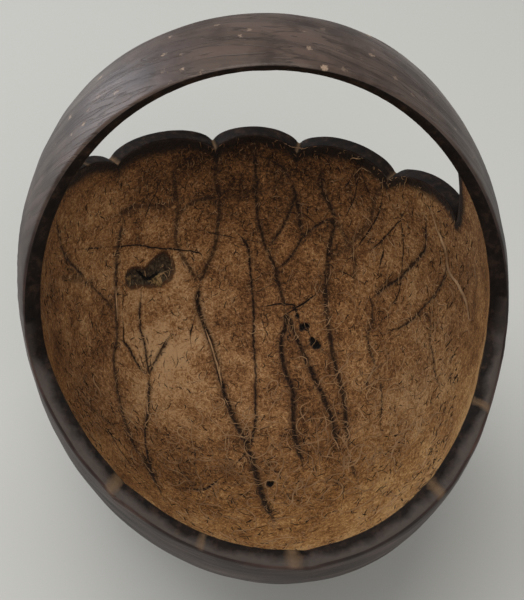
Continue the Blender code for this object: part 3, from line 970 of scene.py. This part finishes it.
def finish_polished_shell():
    """Coconut shell, scraped, sanded and oiled: dense, near black brown with a cool satin sheen."""
    finish, tree, shader = new_finish("polished coconut shell", 0.36, 1.52, Specular_IOR_Level=0.36)
    coordinates = add(tree, "TexCoord")["Object"]
    read = {name: add(tree, "Attribute", attribute_name=name)["Fac"]
            for name in ("grain_along", "grain_across", "strap", "worn", "pinched")}
    stretched = add(tree, "CombineXYZ", {0: read["grain_along"], 1: read["grain_across"]})[0]
    # Broad grain 2 to 4 mm apart, and fine scraper strokes 0.3 mm apart
    broad_place = add(tree, "Mapping", {"Vector": stretched, "Scale": (0.035, 0.26, 1.0)})
    broad = add(tree, "TexNoise", {"Vector": broad_place[0], "Scale": 1.0, "Detail": 4.0,
                                   "Roughness": 0.5, "Distortion": 0.5})["Fac"]
    fine_place = add(tree, "Mapping", {"Vector": stretched, "Scale": (0.10, 3.2, 1.0)})
    fine = add(tree, "TexNoise", {"Vector": fine_place[0], "Scale": 1.0, "Detail": 3.0})["Fac"]
    # Cloudy blotches 12 mm across, where sanding and oil took unevenly
    blotch = add(tree, "TexNoise", {"Vector": coordinates, "Scale": 85.0, "Detail": 5.0,
                                    "Roughness": 0.6})["Fac"]
    # Lines that run round the nut would pinch to a point at its sides, so blotches take over there
    broad = add(tree, "Mix", {0: read["pinched"], 2: broad, 3: blotch})[0]
    straight = add(tree, "Math", {0: 1.0, 1: read["pinched"]}, operation="SUBTRACT")[0]
    fine = add(tree, "Math", {0: fine, 1: straight}, operation="MULTIPLY")[0]
    wall = add(tree, "ValToRGB", {"Fac": broad},
               stops=((0.32, "#1c100b"), (0.48, "#33201a"), (0.62, "#45302a"), (0.75, "#5b4339")))[0]
    # Painted sheen: towards the strap's top the colour turns a lighter grey-brown, standing for the broad
    # reflection of the bright room above
    strap = add(tree, "ValToRGB", {"Fac": broad},
                stops=((0.32, "#4c3d37"), (0.48, "#56473f"), (0.62, "#604f47"), (0.75, "#6a584e")))[0]
    base = add(tree, "Mix", {0: read["strap"], 6: wall, 7: strap}, data_type="RGBA")[2]
    dark = add(tree, "ValToRGB", {"Fac": blotch}, stops=((0.36, "#8d7c74"), (0.56, "#ffffff")))[0]
    colour = add(tree, "Mix", {0: 0.8, 6: base, 7: dark}, data_type="RGBA", blend_type="MULTIPLY")[2]
    # Growth lines: thin dark threads where the broad grain passes evenly spaced values
    steps = add(tree, "Math", {0: broad, 1: 15.0}, operation="MULTIPLY")[0]
    away = add(tree, "Math", {0: steps, 1: 1.0}, operation="PINGPONG")[0]
    threads = add(tree, "MapRange", {"Value": away, "From Min": 0.26, "From Max": 0.08})[0]
    shown = add(tree, "MapRange", {"Value": blotch, "From Min": 0.36, "From Max": 0.62,
                                   "To Min": 0.20, "To Max": 0.60})[0]
    for share in (shown, straight):
        threads = add(tree, "Math", {0: threads, 1: share}, operation="MULTIPLY")[0]
    # Tan specks of bare fibre 0.4 to 1 mm across, with edges ragged by 0.5 mm: one at most in each cell
    # 3.3 mm wide, and mostly on the strap's top
    speck = add(tree, "TexVoronoi", {"Vector": coordinates, "Scale": 300.0})
    ragged = add(tree, "TexNoise", {"Vector": coordinates, "Scale": 1900.0, "Detail": 2.0})["Fac"]
    size = add(tree, "Math", {0: ragged, 1: 0.55, 2: speck["Distance"]}, operation="MULTIPLY_ADD")[0]
    spot = add(tree, "MapRange", {"Value": size, "From Min": 0.50, "From Max": 0.38})[0]
    chance = add(tree, "SeparateColor", {0: speck["Color"]})
    rare = add(tree, "Math", {0: chance[0], 1: 0.52}, operation="GREATER_THAN")[0]
    top = add(tree, "Math", {0: read["strap"], 1: 2.0}, operation="POWER")[0]
    paleness = add(tree, "Math", {0: chance[1], 1: 0.7, 2: 0.15}, operation="MULTIPLY_ADD")[0]
    for share in (rare, top, paleness):
        spot = add(tree, "Math", {0: spot, 1: share}, operation="MULTIPLY")[0]
    worn = add(tree, "Math", {0: blotch, 1: 1.2, 2: read["worn"]}, operation="MULTIPLY_ADD")[0]
    worn = add(tree, "MapRange", {"Value": worn, "From Min": 1.0, "From Max": 1.7, "To Max": 0.7})[0]
    for mask, code in ((threads, "#20140f"), (spot, "#b79c86"), (worn, "#735b45")):
        colour = add(tree, "Mix", {0: mask, 6: colour, 7: srgb(code)}, data_type="RGBA")[2]
    tree.links.new(colour, shader.inputs["Base Color"])
    rough = add(tree, "MapRange", {"Value": broad, "From Min": 0.3, "From Max": 0.75,
                                   "To Min": 0.56, "To Max": 0.42})[0]
    rough = add(tree, "Math", {0: read["strap"], 1: -0.14, 2: rough}, operation="MULTIPLY_ADD")[0]
    tree.links.new(rough, shader.inputs["Roughness"])
    height = add(tree, "Math", {0: broad, 1: 0.6}, operation="MULTIPLY")[0]
    for texture, amount in ((fine, 0.22), (threads, -0.5), (spot, -0.5)):
        height = add(tree, "Math", {0: texture, 1: amount, 2: height}, operation="MULTIPLY_ADD")[0]
    bump = add(tree, "Bump", {"Height": height, "Distance": 0.2 * MM, "Strength": 0.9})
    tree.links.new(bump[0], shader.inputs["Normal"])
    return finish


def finish_sawn_shell():
    """The shell's cut faces: its dense dark core, sawn and filed, nearly black and matt."""
    finish, tree, shader = new_finish("sawn coconut shell", 0.6, 1.52, Specular_IOR_Level=0.16)
    coordinates = add(tree, "TexCoord")["Object"]
    read = {name: add(tree, "Attribute", attribute_name=name)["Fac"]
            for name in ("wall_depth", "front", "worn")}
    # Torn grain 2.4 mm across with finer grit in it, and blotches 7 mm across where the face is rubbed
    # smooth and given a painted sheen
    core = add(tree, "TexNoise", {"Vector": coordinates, "Scale": 420.0, "Detail": 6.0,
                                  "Roughness": 0.72})["Fac"]
    blotch = add(tree, "TexNoise", {"Vector": coordinates, "Scale": 150.0, "Detail": 4.0,
                                    "Roughness": 0.6})["Fac"]
    colour = add(tree, "ValToRGB", {"Fac": core},
                 stops=((0.38, "#0b0705"), (0.52, "#1a110d"), (0.66, "#33241b"), (0.80, "#5f4937")))[0]
    # In front the outer half of the face is rubbed smoother in blotches, and there its colour turns a bluish
    # grey: a painted sheen, the bright sky's reflection painted in
    rubbed_and_sheen = add(tree, "Math", {0: read["wall_depth"], 1: -0.22, 2: blotch}, operation="MULTIPLY_ADD")[0]
    rubbed_and_sheen = add(tree, "MapRange", {"Value": rubbed_and_sheen, "From Min": -0.16, "From Max": 0.22})[0]
    for share in (read["front"], 0.75):
        rubbed_and_sheen = add(tree, "Math", {0: rubbed_and_sheen, 1: share}, operation="MULTIPLY")[0]
    colour = add(tree, "Mix", {0: rubbed_and_sheen, 6: colour, 7: srgb("#514843")}, data_type="RGBA")[2]
    worn = add(tree, "Math", {0: core, 1: 1.2, 2: read["worn"]}, operation="MULTIPLY_ADD")[0]
    worn = add(tree, "MapRange", {"Value": worn, "From Min": 0.9, "From Max": 1.75, "To Max": 0.7})[0]
    colour = add(tree, "Mix", {0: worn, 6: colour, 7: srgb("#7d6349")}, data_type="RGBA")[2]
    tree.links.new(colour, shader.inputs["Base Color"])
    rough = add(tree, "Math", {0: rubbed_and_sheen, 1: -0.28, 2: 0.68}, operation="MULTIPLY_ADD")[0]
    tree.links.new(rough, shader.inputs["Roughness"])
    bump = add(tree, "Bump", {"Height": core, "Distance": 0.3 * MM, "Strength": 0.9})
    tree.links.new(bump[0], shader.inputs["Normal"])
    return finish


def line_masks(tree, name, wobble):
    """How strongly a line drawn by its distance shows: its core, and the stain beside it."""
    read = {part: add(tree, "Attribute", attribute_name=name + part)["Fac"]
            for part in ("", "_far", "_width", "_dark")}
    wandering = add(tree, "Math", {0: read[""], 1: wobble}, operation="ADD")[0]
    away = add(tree, "Math", {0: wandering}, operation="ABSOLUTE")[0]
    ratio = add(tree, "Math", {0: away, 1: read["_width"]}, operation="DIVIDE")[0]
    near = add(tree, "MapRange", {"Value": read["_far"], "From Min": 2.6, "From Max": 1.6})[0]
    strong = add(tree, "Math", {0: read["_dark"], 1: 1.2}, operation="MULTIPLY", use_clamp=True)[0]
    shown = add(tree, "Math", {0: near, 1: strong}, operation="MULTIPLY")[0]
    masks = []
    for outer, inner in ((0.95, 0.45), (2.5, 0.7)):
        mask = add(tree, "MapRange", {"Value": ratio, "From Min": outer, "From Max": inner})[0]
        masks.append(add(tree, "Math", {0: mask, 1: shown}, operation="MULTIPLY")[0])
    return masks


def inside_mask(tree, name, wobble, soft):
    """1 inside an outline drawn by its distance, with a ragged edge."""
    read = add(tree, "Attribute", attribute_name=name)["Fac"]
    ragged = add(tree, "Math", {0: read, 1: wobble}, operation="ADD")[0]
    return add(tree, "MapRange", {"Value": ragged, "From Min": -soft, "From Max": soft})[0]


def finish_raw_skin():
    """Testa and fibre left on the shell's inside: dry, matt, tan felt with dark vessels in it."""
    finish, tree, shader = new_finish("raw coconut inner skin", 0.85, 1.45,
                                      Specular_IOR_Level=0.22, Sheen_Weight=0.05)
    coordinates = add(tree, "TexCoord")["Object"]
    read = {name: add(tree, "Attribute", attribute_name=name)["Fac"]
            for name in ("tone_and_shade", "gold", "knot", "gash", "edge", "behind")}
    # Soft clouds, flecks, grit, combed hair and the wander of the lines: feature size in mm, detail,
    # roughness and distortion
    textures = ((8.0, 6.0, 0.62, 0.0), (0.9, 5.0, 0.72, 0.0), (0.42, 3.0, 0.70, 0.0),
                (2.0, 4.0, 0.60, 2.4), (1.9, 4.0, 0.65, 0.0))
    cloud, fleck, grit, hair, wander = (
        add(tree, "TexNoise", {"Vector": coordinates, "Scale": 1 / (size * MM), "Detail": detail,
                               "Roughness": roughness, "Distortion": distortion})["Fac"]
        for size, detail, roughness, distortion in textures)
    # Felted fibre: two nets of crossing threads, dark ones 2.1 mm apart and pale ones 1.5 mm, bent about
    # every 1.4 mm and broken up; the real fibres are finer and wouldn't show
    shift = add(tree, "TexNoise", {"Vector": coordinates, "Scale": 700.0, "Detail": 3.0})["Color"]
    bent = add(tree, "VectorMath", {0: shift, 1: (1.5 * MM,) * 3, 2: coordinates},
               operation="MULTIPLY_ADD")[0]
    nets = []
    for size, low, high in ((2.1, 0.47, 0.55), (1.5, 0.52, 0.46)):
        net = add(tree, "TexVoronoi", {"Vector": bent, "Scale": 1 / (size * MM)}, feature="DISTANCE_TO_EDGE")
        net = add(tree, "MapRange", {"Value": net["Distance"], "From Min": 0.13, "From Max": 0.04})[0]
        part = add(tree, "MapRange", {"Value": hair, "From Min": low, "From Max": high})[0]
        nets.append(add(tree, "Math", {0: net, 1: part}, operation="MULTIPLY")[0])
    # Starts from the skin's lightness, which has the shade high at the back painted in
    total = read["tone_and_shade"]
    for texture, amount in ((cloud, 1.25), (fleck, 1.0), (grit, 0.7), (hair, 0.7), (nets[0], -0.24),
                            (nets[1], 0.28)):
        total = add(tree, "Math", {0: texture, 1: amount, 2: total}, operation="MULTIPLY_ADD")[0]
    total = add(tree, "Math", {0: total, 1: 1.81}, operation="SUBTRACT")[0]
    brown = add(tree, "ValToRGB", {"Fac": total},
                stops=((0.0, "#2a1a10"), (0.25, "#543823"), (0.50, "#80593a"), (0.75, "#a98058"),
                       (1.0, "#cba67f")))[0]
    golden = add(tree, "ValToRGB", {"Fac": total},
                 stops=((0.0, "#332010"), (0.25, "#664421"), (0.50, "#946637"), (0.75, "#bb8b52"),
                        (1.0, "#dcb47c")))[0]
    colour = add(tree, "Mix", {0: read["gold"], 6: brown, 7: golden}, data_type="RGBA")[2]
    # Pores: dark dots 0.3 mm across that fade out by 0.6 mm, in some cells of a net 1.8 mm wide
    pore = add(tree, "TexVoronoi", {"Vector": coordinates, "Scale": 560.0})
    chance = add(tree, "SeparateColor", {0: pore["Color"]})[0]
    rare = add(tree, "Math", {0: chance, 1: 0.72}, operation="GREATER_THAN")[0]
    dot = add(tree, "MapRange", {"Value": pore["Distance"], "From Min": 0.17, "From Max": 0.09})[0]
    for share in (rare, 0.7):
        dot = add(tree, "Math", {0: dot, 1: share}, operation="MULTIPLY")[0]
    colour = add(tree, "Mix", {0: dot, 6: colour, 7: srgb("#2b1a10")}, data_type="RGBA")[2]
    wobble = add(tree, "Math", {0: wander, 1: 1.5, 2: -0.75}, operation="MULTIPLY_ADD")[0]
    slight = add(tree, "Math", {0: wobble, 1: 0.45}, operation="MULTIPLY")[0]
    broken = add(tree, "MapRange", {"Value": hair, "From Min": 0.38, "From Max": 0.52,
                                    "To Min": 0.45, "To Max": 1.0})[0]
    core, stain = line_masks(tree, "vein", wobble)
    core = add(tree, "Math", {0: core, 1: broken}, operation="MULTIPLY")[0]
    stain = add(tree, "Math", {0: stain, 1: 0.55}, operation="MULTIPLY")[0]
    crack, crack_stain = line_masks(tree, "crack", slight)
    crack_stain = add(tree, "Math", {0: crack_stain, 1: 0.45}, operation="MULTIPLY")[0]
    for mask, code in ((stain, "#4a3526"), (core, "#21150e"), (crack_stain, "#4a3020"), (crack, "#150c08")):
        colour = add(tree, "Mix", {0: mask, 6: colour, 7: srgb(code)}, data_type="RGBA")[2]
    # The knot: a red-brown border, grey-brown inside with tan flecks and a black gash; and the chips
    ragged = add(tree, "Math", {0: fleck, 1: 1.8, 2: -0.9}, operation="MULTIPLY_ADD")[0]
    ragged_knot = add(tree, "Math", {0: read["knot"], 1: ragged}, operation="ADD")[0]
    border = add(tree, "MapRange", {"Value": ragged_knot, "From Min": -1.0, "From Max": -0.4,
                                    "To Max": 0.85})[0]
    heart = add(tree, "MapRange", {"Value": ragged_knot, "From Min": 0.0, "From Max": 0.5})[0]
    knot_colour = add(tree, "ValToRGB", {"Fac": fleck},
                      stops=((0.36, "#1c150f"), (0.50, "#42372a"), (0.66, "#6a5a45")))[0]
    fleck_colour = add(tree, "ValToRGB", {"Fac": fleck},
                       stops=((0.40, "#4d3a24"), (0.52, "#8a7048"), (0.66, "#b89b6c")))[0]
    gash = add(tree, "Math", {0: read["gash"], 1: ragged}, operation="ADD")[0]
    gash = add(tree, "MapRange", {"Value": gash, "From Min": 1.1, "From Max": 0.8})[0]
    bare = inside_mask(tree, "flecks", ragged, 0.25)
    chip = inside_mask(tree, "chip", ragged, 0.15)
    black = add(tree, "Math", {0: gash, 1: chip}, operation="MAXIMUM")[0]
    for mask, tint in ((border, srgb("#3c2417")), (heart, knot_colour), (bare, fleck_colour),
                       (black, srgb("#0b0705"))):
        colour = add(tree, "Mix", {0: mask, 6: colour, 7: tint}, data_type="RGBA")[2]
    # Under the sawn face the skin is stained dark, more widely at the back
    width = add(tree, "MapRange", {"Value": read["behind"], "From Min": -20.0, "From Max": 60.0,
                                   "To Min": 0.35, "To Max": 1.0})[0]
    edge = add(tree, "Math", {0: read["edge"], 1: width}, operation="DIVIDE")[0]
    for texture, amount in ((cloud, -7.0), (fleck, -2.0)):
        edge = add(tree, "Math", {0: texture, 1: amount, 2: edge}, operation="MULTIPLY_ADD")[0]
    stained = add(tree, "MapRange", {"Value": edge, "From Min": 0.3, "From Max": -1.9, "To Max": 0.95})[0]
    colour = add(tree, "Mix", {0: stained, 6: colour, 7: srgb("#1f1712")}, data_type="RGBA")[2]
    tree.links.new(colour, shader.inputs["Base Color"])
    height = add(tree, "Math", {0: fleck, 1: 0.9}, operation="MULTIPLY")[0]
    for texture, amount in ((hair, 0.6), (crack, -0.9), (core, -0.5), (dot, -0.5), (black, -1.0)):
        height = add(tree, "Math", {0: texture, 1: amount, 2: height}, operation="MULTIPLY_ADD")[0]
    bump = add(tree, "Bump", {"Height": height, "Distance": 0.45 * MM, "Strength": 1.0})
    tree.links.new(bump[0], shader.inputs["Normal"])
    return finish


def finish_strand(name, dull, bright):
    """Dry coir fibre: matt, as dark or pale as the skin round it, its painted shade included."""
    finish, tree, shader = new_finish(name, 0.75, 1.5, Specular_IOR_Level=0.3)
    coordinates = add(tree, "TexCoord")["Object"]
    tone_and_shade = add(tree, "Attribute", attribute_name="tone_and_shade")["Fac"]
    # The shade changes every 3 mm or so along a fibre
    vary = add(tree, "TexNoise", {"Vector": coordinates, "Scale": 300.0, "Detail": 3.0})["Fac"]
    total = add(tree, "Math", {0: vary, 1: 1.2, 2: tone_and_shade}, operation="MULTIPLY_ADD")[0]
    colour = add(tree, "ValToRGB", {"Fac": add(tree, "Math", {0: total, 1: 0.6}, operation="SUBTRACT")[0]},
                 stops=((0.1, dull), (0.9, bright)))[0]
    tree.links.new(colour, shader.inputs["Base Color"])
    return finish


def finish_foot_ring():
    """The foot is another nut's shell, turned and only roughly sanded, so it stays matt and brown."""
    finish, tree, shader = new_finish("turned coconut shell", 0.5, 1.52)
    coordinates = add(tree, "TexCoord")["Object"]
    # Turning lines 0.9 mm apart, coarse enough to show, and pores 1.1 mm across
    flat = add(tree, "Mapping", {"Vector": coordinates, "Scale": (60.0, 60.0, 1100.0)})
    rings = add(tree, "TexNoise", {"Vector": flat[0], "Scale": 1.0, "Detail": 5.0,
                                   "Roughness": 0.65})["Fac"]
    pores = add(tree, "TexNoise", {"Vector": coordinates, "Scale": 900.0, "Detail": 4.0})["Fac"]
    total = add(tree, "Math", {0: pores, 1: 0.4, 2: rings}, operation="MULTIPLY_ADD")[0]
    colour = add(tree, "ValToRGB", {"Fac": total},
                 stops=((0.50, "#251812"), (0.68, "#3f2d24"), (0.86, "#5d483b")))[0]
    tree.links.new(colour, shader.inputs["Base Color"])
    bump = add(tree, "Bump", {"Height": total, "Distance": 0.2 * MM, "Strength": 0.8})
    tree.links.new(bump[0], shader.inputs["Normal"])
    return finish


def finish_glue():
    """Hide glue squeezed out and set: amber, glossy, with small lumps."""
    finish, tree, shader = new_finish("set hide glue", 0.22, 1.53)
    coordinates = add(tree, "TexCoord")["Object"]
    # Lumps 4 mm across
    lumps = add(tree, "TexNoise", {"Vector": coordinates, "Scale": 260.0, "Detail": 3.0})["Fac"]
    colour = add(tree, "ValToRGB", {"Fac": lumps}, stops=((0.35, "#4d2f17"), (0.65, "#8a5c2e")))[0]
    tree.links.new(colour, shader.inputs["Base Color"])
    bump = add(tree, "Bump", {"Height": lumps, "Distance": 0.4 * MM, "Strength": 0.8})
    tree.links.new(bump[0], shader.inputs["Normal"])
    return finish


# ---------------------------------------------------------------- stage, light and camera

def make_stage():
    """Pale floor under the basket."""
    bpy.ops.mesh.primitive_plane_add(size=6, location=(0, 0, 0))
    floor = bpy.context.object
    floor.name = "floor"
    finish, _, shader = new_finish("pale paper", 0.9)
    shader.inputs["Base Color"].default_value = srgb("#cececa")
    floor.data.materials.append(finish)


def make_light(name, place, aim, size, power, colour="#ffffff"):
    """A softbox: a square area light that faces a point."""
    lamp = bpy.data.lights.new(name, "AREA")
    lamp.shape = "SQUARE"
    lamp.size = size
    lamp.energy = power
    lamp.color = srgb(colour)[:3]
    holder = bpy.data.objects.new(name, lamp)
    bpy.context.scene.collection.objects.link(holder)
    holder.location = place
    holder.rotation_euler = (Vector(aim) - Vector(place)).to_track_quat("-Z", "Y").to_euler()


def make_lights():
    target = Vector(NUT_CENTRE)
    make_light("overhead", target + Vector((-0.15, 0.10, 0.9)), target, 0.8, 5.2, "#fffdf8")
    make_light("window", target + Vector((-0.75, 0.75, 0.35)), target, 0.7, 3.6, "#f1f5ff")
    make_light("fill", target + Vector((0.15, -0.9, 0.8)), target, 0.6, 3.6, "#fffaf2")
    world = bpy.data.worlds.new("room")
    world.use_nodes = True
    world.node_tree.nodes["Background"].inputs[0].default_value = srgb("#e9ecee")
    world.node_tree.nodes["Background"].inputs[1].default_value = 0.32
    bpy.context.scene.world = world
    bpy.context.scene.view_settings.view_transform = "Standard"


CAMERA_ELEVATION = 46.0
CAMERA_YAW = 3.5
CAMERA_ROLL = -0.5
CAMERA_DISTANCE = 237 * MM
LENS = 69.73
CAMERA_SHIFT = (0.0028626, -0.0385496)


def make_camera():
    """Looks down into the basket from the front, close by."""
    tilt, yaw, roll = (math.radians(v) for v in (CAMERA_ELEVATION, CAMERA_YAW, CAMERA_ROLL))
    back = Vector((-math.sin(yaw) * math.cos(tilt), -math.cos(yaw) * math.cos(tilt), math.sin(tilt)))
    right = (-back).cross(Vector((0, 0, 1))).normalized()
    up = right.cross(-back)
    rolled_right = right * math.cos(roll) + up * math.sin(roll)
    rolled_up = up * math.cos(roll) - right * math.sin(roll)
    camera = bpy.data.objects.new("camera", bpy.data.cameras.new("camera"))
    bpy.context.scene.collection.objects.link(camera)
    turn = Matrix((rolled_right, rolled_up, back)).transposed()
    camera.matrix_world = Matrix.LocRotScale(Vector(NUT_CENTRE) + back * CAMERA_DISTANCE, turn, None)
    camera.data.sensor_fit = "HORIZONTAL"
    camera.data.sensor_width = 36
    camera.data.lens = LENS
    camera.data.shift_x, camera.data.shift_y = CAMERA_SHIFT
    camera.data.clip_start = 0.01
    bpy.context.scene.camera = camera


# ---------------------------------------------------------------- putting it together

make_camera()
make_stage()
make_lights()

shell = make_shell()
finish_shell(shell)
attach(shell, BODY)
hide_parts("bowl", "handle")

skin = make_raw_skin()
skin.data.materials.append(finish_raw_skin())
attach(skin, BODY)

tangles, hairs, slivers = make_strands(surface_of(skin))
pale = finish_strand("pale coir fibre", "#6b4a31", "#cba67c")
for strands, finish in ((tangles, pale), (hairs, pale),
                        (slivers, finish_strand("dark coir fibre", "#120a06", "#2a1a11"))):
    strands.data.materials.append(finish)
    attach(strands, BODY)

frame["nodes"]["foot_ring"].data.materials[0] = finish_foot_ring()
frame["nodes"]["glue_bead"].data.materials[0] = finish_glue()

for piece in (shell, skin, tangles, hairs, slivers):
    print(piece.name, len(piece.data.vertices), "vertices",
          sum(len(p.vertices) - 2 for p in piece.data.polygons), "triangles")
